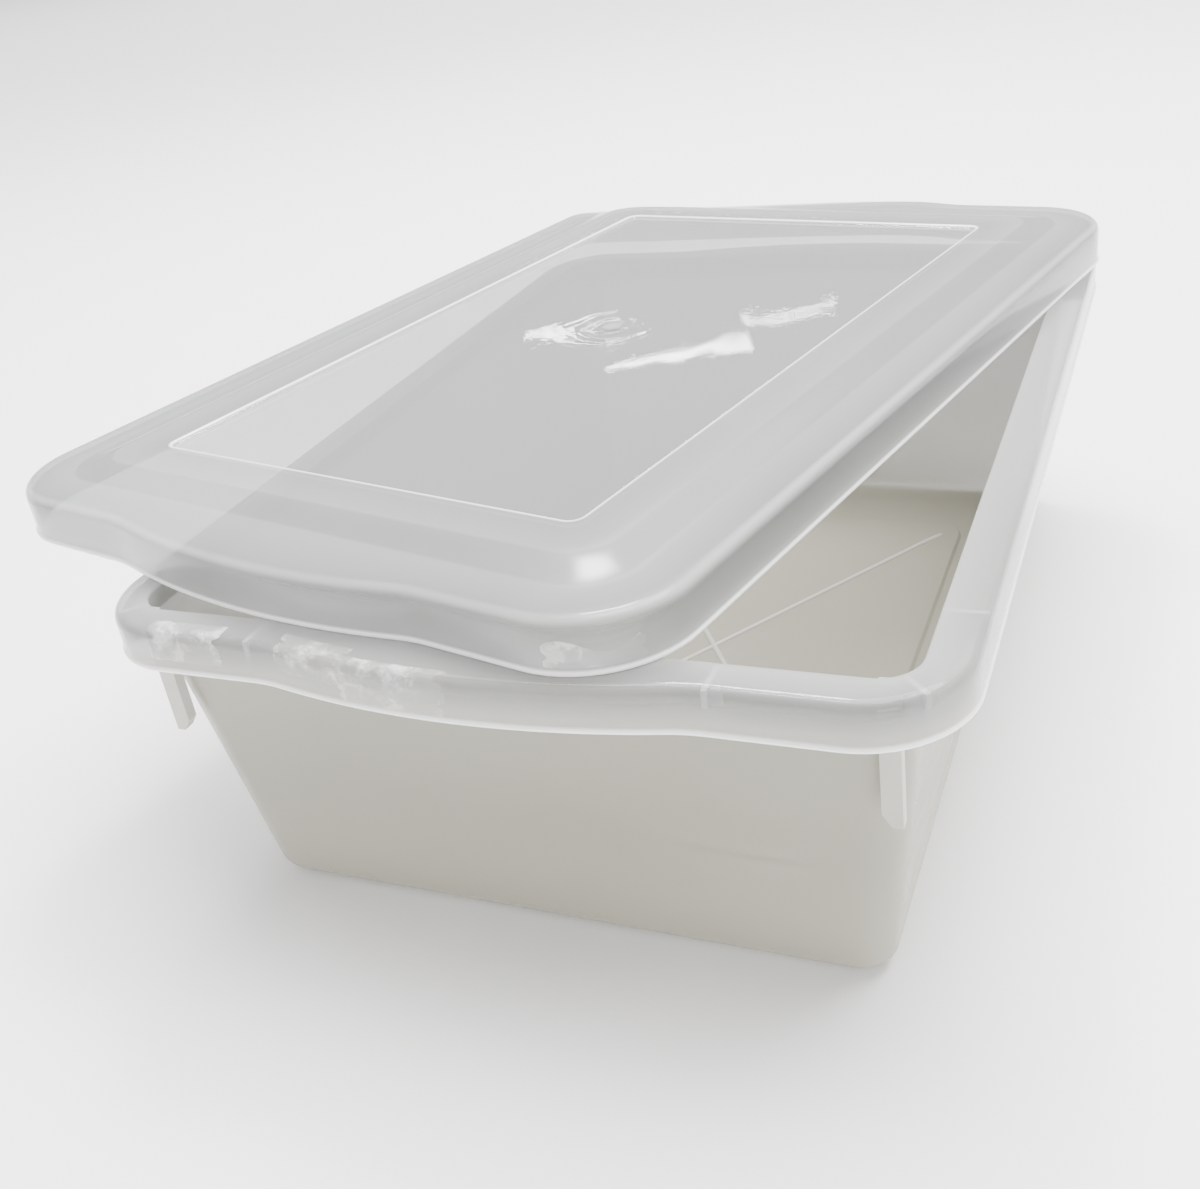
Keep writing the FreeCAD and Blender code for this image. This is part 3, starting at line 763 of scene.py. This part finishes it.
def milky_plastic(name, base, upper, rim_foot, painted_edge_light, cover, clear_cover, rough, gate):
    """Translucent moulded plastic: milky and denser along edges, with painted highlight and glow
    along them.

    Its faint flow marks curl round the gate, where the plastic ran in. Above rim_foot it has the
    upper colour: rim and walls differ in colour as painted shade, the walls beige for the shade
    under the lid and the rim darker against the light on its top. Near the foot it is painted
    lighter, as if lit by the floor. Where it is clear it hides as little as clear_cover says.
    """
    material, tree = new_shader(name)
    place = tree.node("ShaderNodeTexCoord", output="Object")
    edge = tree.node("ShaderNodeAttribute", {"attribute_name": "edge"}, output="Fac")
    clear = tree.node("ShaderNodeAttribute", {"attribute_name": "clear"}, output="Fac")
    clouds = tree.noise(place, CLOUD_SCALE, 3.0)
    flow_place = tree.node("ShaderNodeMapping", None, {"Vector": place, "Scale": (1.0, 0.3, 1.6)})
    flow = tree.noise(flow_place, FLOW_SCALE, 2.0)
    grain = tree.noise(place, GRAIN_SCALE, 2.0)
    cloudy = clouds.between(0.3, 0.7)
    warm = tuple(c * k for c, k in zip(base, (1.0, 0.985, 0.93)))
    pale = tuple(c * 1.05 for c in base)
    height = tree.node("ShaderNodeSeparateXYZ", None, {"Vector": place}, output="Z")
    body = tree.blend(cloudy * 0.6, base, warm)
    body = tree.blend(flow.between(0.2, 0.8) * 0.5, body, pale)
    # Painted light: the plastic is lighter towards the foot, as if lit by light from the floor.
    lighter = tuple(c * 1.4 for c in base)
    body = tree.blend(height.between(PAINTED_FOOT_LIGHT_TOP, 0.0) * (1.0 - clear), body, lighter)
    # Painted shade: the walls below the rim keep the warmer tub colour for the shade under the lid,
    # the rim above takes a darker, cooler colour against the light on its top.
    body = tree.blend(height.between(rim_foot, rim_foot + RIM_CHANGE), body, upper)
    # Painted highlight: the edge mask whitens the colour along lips, round edges, ribs and the
    # window's step.
    body = tree.blend(edge.lowest(1.0), body, painted_edge_light)
    facing = tree.node("ShaderNodeLayerWeight", None, {"Blend": 0.35}, output="Facing")
    hide = cover + (cloudy - 0.5) * 0.03 + clear * (clear_cover - cover)
    hide = hide + (1.0 - hide) * facing * 0.75
    hide = hide + (1.0 - hide) * edge * 0.9
    rough = (rough + cloudy * 0.06 + flow.between(0.4, 0.7) * 0.04) * (1.0 - clear * 0.93)
    around = tree.node("ShaderNodeMapping", None, {"Vector": place, "Location": gate})
    around = tree.node("ShaderNodeVectorMath", {"operation": "MULTIPLY"}, {0: around, 1: (1, 1, 0)})
    away = tree.node("ShaderNodeVectorMath", {"operation": "LENGTH"}, {0: around}, output="Value")
    curl = (tree.noise(place, CURL_SCALE) * 9.0 + away * CURL_RATE).sine()
    near_gate = 1.0 - away.between(*CURL_REACH)
    wave = clouds * 0.8 + flow * 0.35 + grain * 0.012 + curl * near_gate * 0.12
    bump = {"Strength": 0.35, "Distance": WAVE_HEIGHT, "Height": wave}
    normal = tree.node("ShaderNodeBump", None, bump)
    # Painted glow: the same edge mask makes lips, ribs and edges glow, though they are no lamps.
    glow = tree.blend(edge, (0.0, 0.0, 0.0), painted_edge_light)
    surface = tree.node(
        "ShaderNodeBsdfPrincipled",
        None,
        {
            "Base Color": body,
            "Roughness": rough,
            "IOR": 1.49,
            "Alpha": hide.lowest(1.0),
            "Normal": normal,
            "Emission Color": glow,
            "Emission Strength": 0.22,
        },
    )
    tree.node("ShaderNodeOutputMaterial", None, {"Surface": surface})
    return material


def clear_film(name):
    """Clear sticky film that has wrinkled and yellowed a little."""
    material, tree = new_shader(name)
    place = tree.node("ShaderNodeTexCoord", output="Object")
    creases = tree.noise(place, 130.0, 4.0, 0.6)
    patches = tree.noise(place, 45.0, 2.0)
    bump = {"Strength": 1.0, "Distance": 0.003, "Height": creases}
    normal = tree.node("ShaderNodeBump", None, bump)
    tint = tree.blend(patches.between(0.3, 0.7), (0.93, 0.93, 0.92), (0.86, 0.85, 0.80))
    surface = tree.node(
        "ShaderNodeBsdfPrincipled",
        None,
        {
            "Base Color": tint,
            "Roughness": patches * 0.1 + 0.04,
            "IOR": 1.5,
            "Alpha": creases.between(0.45, 0.62) * 0.4 + 0.12,
            "Normal": normal,
        },
    )
    tree.node("ShaderNodeOutputMaterial", None, {"Surface": surface})
    return material


def floor_paint(name, tint):
    """Plain pale floor with a hint of unevenness."""
    material, tree = new_shader(name)
    place = tree.node("ShaderNodeTexCoord", output="Object")
    patches = tree.noise(place, 3.0, 2.0)
    darker = tuple(c * 0.985 for c in tint)
    surface = tree.node(
        "ShaderNodeBsdfPrincipled",
        None,
        {"Base Color": tree.blend(patches, tint, darker), "Roughness": patches * 0.1 + 0.6},
    )
    tree.node("ShaderNodeOutputMaterial", None, {"Surface": surface})
    return material


# ---------------------------------------------------------------- operators


def rib_points(mould, tub):
    """Middle of each rib under the rim, its turn and its reach from skirt to wall."""
    half_x, half_y = rim_half(mould)
    middle_z = TUB_HIGH.z - mould.wall * 0.75 - tub.rib_depth / 2
    low_z = TUB_HIGH.z - mould.wall - tub.rib_depth
    # Both ends of a rib are let into the plastic, so that no gap shows.
    outer = mould.wall * 0.6
    inner = tub.base_inset - wall_lean(mould, tub) * low_z + mould.wall * 0.2
    straight, middle = inner - outer, (inner + outer) / 2
    wall_corner = tub.opening_inset + tub.opening_corner
    diagonal_out = mould.rim_corner * (math.sqrt(2) - 1) + outer
    diagonal_in = wall_corner * math.sqrt(2) - tub.opening_corner
    corner = (diagonal_out + diagonal_in) / 2 / math.sqrt(2)
    places, turns, reaches = [], [], []
    for side_x in (1, -1):
        for side_y in (1, -1):
            places.append((side_x * mould.grip_half, side_y * (half_y - middle), middle_z))
            turns.append(math.pi / 2)
            reaches.append(straight)
            places.append((side_x * (half_x - middle), side_y * tub.side_rib_place, middle_z))
            turns.append(0.0)
            reaches.append(straight)
            places.append((side_x * (half_x - corner), side_y * (half_y - corner), middle_z))
            turns.append(side_x * side_y * math.pi / 4)
            reaches.append(diagonal_in - diagonal_out)
    return places, turns, reaches


def rib_tree(material):
    """Geometry Nodes: one thin block stands on every point, turned and scaled as the point says."""
    group = bpy.data.node_groups.new("ribs_under_rim", "GeometryNodeTree")
    group.interface.new_socket("Geometry", in_out="INPUT", socket_type="NodeSocketGeometry")
    for name in ("Thickness", "Depth"):
        group.interface.new_socket(name, in_out="INPUT", socket_type="NodeSocketFloat")
    group.interface.new_socket("Geometry", in_out="OUTPUT", socket_type="NodeSocketGeometry")
    tree = Tree(group)
    inputs = group.nodes.new("NodeGroupInput")
    points, thickness, depth = (Wire(tree, inputs.outputs[i]) for i in range(3))
    size = tree.node("ShaderNodeCombineXYZ", None, {"X": 1.0, "Y": thickness, "Z": depth})
    block = tree.node("GeometryNodeMeshCube", None, {"Size": size})
    attribute = {"data_type": "FLOAT"}
    turn = tree.node("GeometryNodeInputNamedAttribute", attribute, {"Name": "turn"})
    reach = tree.node("GeometryNodeInputNamedAttribute", attribute, {"Name": "reach"})
    turning = tree.node("ShaderNodeCombineXYZ", None, {"Z": turn})
    scale = tree.node("ShaderNodeCombineXYZ", None, {"X": reach, "Y": 1.0, "Z": 1.0})
    ribs = tree.node(
        "GeometryNodeInstanceOnPoints",
        None,
        {"Points": points, "Instance": block, "Rotation": turning, "Scale": scale},
    )
    real = tree.node("GeometryNodeRealizeInstances", None, {"Geometry": ribs})
    # Painted highlight and glow on the ribs, so that they show through the skirt.
    for look, amount in (("edge", 0.7), ("clear", 0.0)):
        real = tree.node(
            "GeometryNodeStoreNamedAttribute",
            {"data_type": "FLOAT", "domain": "POINT"},
            {"Geometry": real, "Name": look, "Value": amount},
        )
    painted = tree.node("GeometryNodeSetMaterial", None, {"Geometry": real, "Material": material})
    tree.node("NodeGroupOutput", None, {0: painted})
    return group


def made_by_nodes(name, source, group, sizes):
    """Plain mesh that a Geometry Nodes tree makes from a source mesh."""
    carrier = add_object(name + "_source", source)
    modifier = carrier.modifiers.new(name, "NODES")
    modifier.node_group = group
    for item in group.interface.items_tree:
        if item.in_out == "INPUT" and item.name in sizes:
            modifier[item.identifier] = sizes[item.name]
    bpy.context.view_layer.update()
    ready = carrier.evaluated_get(bpy.context.evaluated_depsgraph_get())
    mesh = bpy.data.meshes.new_from_object(ready)
    mesh.name = name
    bpy.data.objects.remove(carrier)
    return mesh


def tub_plastic(scene):
    """Plastic of the tub, made once and shared by all that is moulded with it."""
    name, look = "tub_milky_plastic", scene.shoebox_plastic
    rim_foot = TUB_HIGH.z - scene.shoebox_tub.rim_skirt
    return bpy.data.materials.get(name) or milky_plastic(
        name, look.tub_colour_and_shade, look.rim_colour_and_shade, rim_foot, look.painted_edge_light,
        look.tub_cover, look.rim_cover, look.tub_rough, (0.0, 0.0, 0.0),
    )


def lid_half(mould, lid):
    """Half sizes of the lid without its lip and grips, and its corner radius."""
    half_x, half_y = rim_half(mould)
    grow = lid.play + mould.wall
    return half_x + grow, half_y + grow, mould.rim_corner + grow


def lay_on_rim(mesh, lid):
    """Moves a mesh from the lid's own middle, skirt down, to where the lid lies."""
    centre = (LID_LOW + LID_HIGH) / 2
    place = Matrix.Translation((centre.x, centre.y, LID_LOW.z))
    mesh.transform(place @ Matrix.Rotation(lid.turn, 4, "Z"))


def hang_down(mesh, mould, lid):
    """Bends down what is past the rear rim, more and more towards the far end."""
    points = read_points(mesh)
    start = TUB_HIGH.y + mould.wall
    share_out = np.clip((points[:, 1] - start) / (LID_HIGH.y - start), 0, 1)
    points[:, 2] -= lid.droop * share_out**1.5
    mesh.vertices.foreach_set("co", points.ravel())


class SHOEBOX_OT_tub(bpy.types.Operator):
    """Mould the tub: floor with its raised panel, walls, and rim with skirt and grips"""

    bl_idname = "shoebox.tub"
    bl_label = "Build tub"

    def execute(self, context):
        scene = context.scene
        mesh = shell(
            "tub_moulding", tub_rings(scene.shoebox_mould, scene.shoebox_tub), scene.shoebox_mould
        )
        piece = add_object("tub_moulding", mesh, tub_plastic(scene))
        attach(piece, "tub")
        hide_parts("tub")
        return {"FINISHED"}


class SHOEBOX_OT_lugs(bpy.types.Operator):
    """Stand the stacking lugs on the tub's short walls"""

    bl_idname = "shoebox.lugs"
    bl_label = "Build lugs"

    def execute(self, context):
        scene = context.scene
        mesh = lug_mesh(scene.shoebox_mould, scene.shoebox_tub)
        piece = add_object("tub_lugs", mesh, tub_plastic(scene))
        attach(piece, "tub")
        return {"FINISHED"}


class SHOEBOX_OT_floor_ribs(bpy.types.Operator):
    """Lay the two diagonal ribs on the tub's floor"""

    bl_idname = "shoebox.floor_ribs"
    bl_label = "Build floor ribs"

    def execute(self, context):
        scene = context.scene
        mesh = floor_rib_mesh(scene.shoebox_mould, scene.shoebox_tub)
        piece = add_object("tub_floor_ribs", mesh, tub_plastic(scene))
        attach(piece, "tub")
        return {"FINISHED"}


class SHOEBOX_OT_rim_ribs(bpy.types.Operator):
    """Set the ribs between the rim's skirt and the wall, all round the tub"""

    bl_idname = "shoebox.rim_ribs"
    bl_label = "Build rim ribs"

    def execute(self, context):
        scene = context.scene
        mould, tub = scene.shoebox_mould, scene.shoebox_tub
        places, turns, reaches = rib_points(mould, tub)
        source = new_mesh("rib_places", places, [], turn=turns, reach=reaches)
        sizes = {"Thickness": tub.rib_thickness, "Depth": tub.rib_depth + mould.wall / 2}
        mesh = made_by_nodes("tub_rim_ribs", source, rib_tree(tub_plastic(scene)), sizes)
        piece = add_object("tub_rim_ribs", mesh)
        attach(piece, "tub")
        return {"FINISHED"}


class SHOEBOX_OT_lid(bpy.types.Operator):
    """Mould the lid, as it lies askew on the rim, and its gate's mark"""

    bl_idname = "shoebox.lid"
    bl_label = "Build lid"

    def execute(self, context):
        scene = context.scene
        mould, lid, look = scene.shoebox_mould, scene.shoebox_lid, scene.shoebox_plastic
        plastic = milky_plastic(
            "lid_milky_plastic", look.lid_colour, look.lid_colour, LID_LOW.z, look.painted_edge_light,
            look.lid_cover, look.window_cover, look.lid_rough, tuple(-(LID_LOW + LID_HIGH) / 2),
        )
        half_x, half_y, _ = lid_half(mould, lid)
        mesh = shell("lid_moulding", lid_rings(mould, lid, half_x, half_y), mould)
        gate = gate_mesh(lid)
        lay_on_rim(mesh, lid)
        lay_on_rim(gate, lid)
        hang_down(mesh, mould, lid)
        pieces = [add_object("lid_moulding", mesh, plastic)]
        pieces.append(add_object("lid_gate_mark", gate, plastic))
        for piece in pieces:
            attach(piece, "lid")
        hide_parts("lid")
        return {"FINISHED"}


class SHOEBOX_OT_film(bpy.types.Operator):
    """Stick the remains of clear film on the front rim and on the lid's near corner"""

    bl_idname = "shoebox.film"
    bl_label = "Build film remains"

    def execute(self, context):
        scene = context.scene
        mould, lid = scene.shoebox_mould, scene.shoebox_lid
        mesh = film_mesh("tub_film_rests", mould, scene.shoebox_tub)
        piece = add_object("tub_film_rests", mesh, clear_film("old_clear_film"))
        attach(piece, "tub")
        half_x, half_y, corner = lid_half(mould, lid)
        mesh = corner_film_mesh("lid_film_rest", half_x - corner, corner - half_y, corner)
        lay_on_rim(mesh, lid)
        piece = add_object("lid_film_rest", mesh, clear_film("lid_clear_film"))
        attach(piece, "lid")
        return {"FINISHED"}


# Soft square lamps: name, place, the point they shine at, length of a side, power in watts.
LAMPS = (
    ("overhead", (0.2, 0.3, 1.7), (0.0, 0.0, 0.1), 1.4, 88.0),
    ("far_ceiling", (0.0, 3.6, 4.5), (0.0, 3.6, 0.0), 6.5, 620.0),
    ("front_fill", (0.9, -1.4, 0.45), (0.05, -0.1, 0.04), 0.6, 7.0),
    ("corner_glint", (-0.29, 0.64, 1.22), (0.03, -0.131, 0.105), 0.25, 18.0),
)
# Tubes that shine straight down and show in the window: name, place, turn in degrees, length and
# power in watts.
STRIPS = (
    ("strip_left", (-1.95, 3.97, 1.5), 8.0, 0.36, 3.2),
    ("strip_middle", (-1.46, 3.73, 1.5), 41.6, 0.51, 5.0),
    ("strip_right", (-1.2, 4.2, 1.5), 37.9, 0.35, 1.6),
)
STRIP_WIDTH = 0.045
FLOOR_HALF, FLOOR_DEPTH = 20.0, 0.05


def floor_slab():
    """Slab whose top is at height 0."""
    ends = (-FLOOR_HALF, FLOOR_HALF)
    loop = [(ends[0], ends[0]), (ends[1], ends[0]), (ends[1], ends[1]), (ends[0], ends[1])]
    points = [(x, y, z) for z in (-FLOOR_DEPTH, 0.0) for x, y in loop]
    return new_mesh("floor", points, tube_faces(2, 4) + end_faces(2, 4), smooth=False)


class SHOEBOX_OT_studio(bpy.types.Operator):
    """Set up the pale floor, the soft lights and the camera"""

    bl_idname = "shoebox.studio"
    bl_label = "Set up studio"

    def add_lamp(self, name, place, turn, width, depth, power):
        """Soft rectangular light."""
        light = bpy.data.lights.new(name, "AREA")
        light.shape = "RECTANGLE"
        light.size = width
        light.size_y = depth
        light.energy = power
        lamp = bpy.data.objects.new(name, light)
        lamp.location = place
        lamp.rotation_euler = turn
        bpy.context.scene.collection.objects.link(lamp)

    def execute(self, context):
        scene = context.scene
        studio = scene.shoebox_studio
        room = scene.world or bpy.data.worlds.new("room")
        scene.world = room
        room.use_nodes = True
        room.node_tree.nodes.clear()
        tree = Tree(room.node_tree)
        direction = tree.node("ShaderNodeTexCoord", output="Generated")
        height = tree.node("ShaderNodeSeparateXYZ", None, {"Vector": direction}, output="Z")
        strength = (height.between(-0.1, 0.8) * 0.25 + 0.9) * studio.sky
        seen = tree.node("ShaderNodeLightPath", output="Is Camera Ray")
        strength = strength + seen * studio.backdrop
        background = tree.node("ShaderNodeBackground", None, {"Strength": strength})
        tree.node("ShaderNodeOutputWorld", None, {"Surface": background})

        floor = add_object("floor", floor_slab(), floor_paint("pale_floor", studio.floor_colour))

        for name, place, target, size, power in LAMPS:
            turn = (Vector(target) - Vector(place)).to_track_quat("-Z", "Y").to_euler()
            self.add_lamp(name, place, turn, size, size, power)
        for name, place, turn, length, power in STRIPS:
            turn = (0.0, 0.0, math.radians(turn))
            self.add_lamp(name, place, turn, length, STRIP_WIDTH, power)

        view = bpy.data.cameras.new("view")
        view.sensor_width = 36.0
        view.lens = studio.lens
        camera = bpy.data.objects.new("view", view)
        camera.location = studio.camera_place
        camera.rotation_euler = studio.camera_tilt
        scene.collection.objects.link(camera)
        scene.camera = camera
        return {"FINISHED"}


class SHOEBOX_PT_panel(bpy.types.Panel):
    """Sizes, colours and buttons of the shoe box"""

    bl_idname = "SHOEBOX_PT_panel"
    bl_label = "Shoe Box"
    bl_space_type = "VIEW_3D"
    bl_region_type = "UI"
    bl_category = "Shoe Box"

    def draw(self, context):
        layout = self.layout
        for name in GROUPS:
            values = getattr(context.scene, name)
            box = layout.box()
            for key in values.__annotations__:
                box.prop(values, key)
        for operator in OPERATORS:
            layout.operator(operator.bl_idname)


GROUPS = {
    "shoebox_mould": ShoeBoxMouldSizes,
    "shoebox_tub": ShoeBoxTubSizes,
    "shoebox_lid": ShoeBoxLidSizes,
    "shoebox_plastic": ShoeBoxPlastic,
    "shoebox_studio": ShoeBoxStudio,
}
OPERATORS = (
    SHOEBOX_OT_tub,
    SHOEBOX_OT_lugs,
    SHOEBOX_OT_floor_ribs,
    SHOEBOX_OT_rim_ribs,
    SHOEBOX_OT_lid,
    SHOEBOX_OT_film,
    SHOEBOX_OT_studio,
)


def register():
    for name, group in GROUPS.items():
        bpy.utils.register_class(group)
        setattr(bpy.types.Scene, name, PointerProperty(type=group))
    for operator in OPERATORS:
        bpy.utils.register_class(operator)
    bpy.utils.register_class(SHOEBOX_PT_panel)


def unregister():
    bpy.utils.unregister_class(SHOEBOX_PT_panel)
    for operator in reversed(OPERATORS):
        bpy.utils.unregister_class(operator)
    for name, group in reversed(GROUPS.items()):
        delattr(bpy.types.Scene, name)
        bpy.utils.unregister_class(group)


def main():
    register()
    bpy.ops.shoebox.tub()
    bpy.ops.shoebox.lugs()
    bpy.ops.shoebox.floor_ribs()
    bpy.ops.shoebox.rim_ribs()
    bpy.ops.shoebox.lid()
    bpy.ops.shoebox.film()
    bpy.ops.shoebox.studio()


if __name__ == "__main__":
    main()
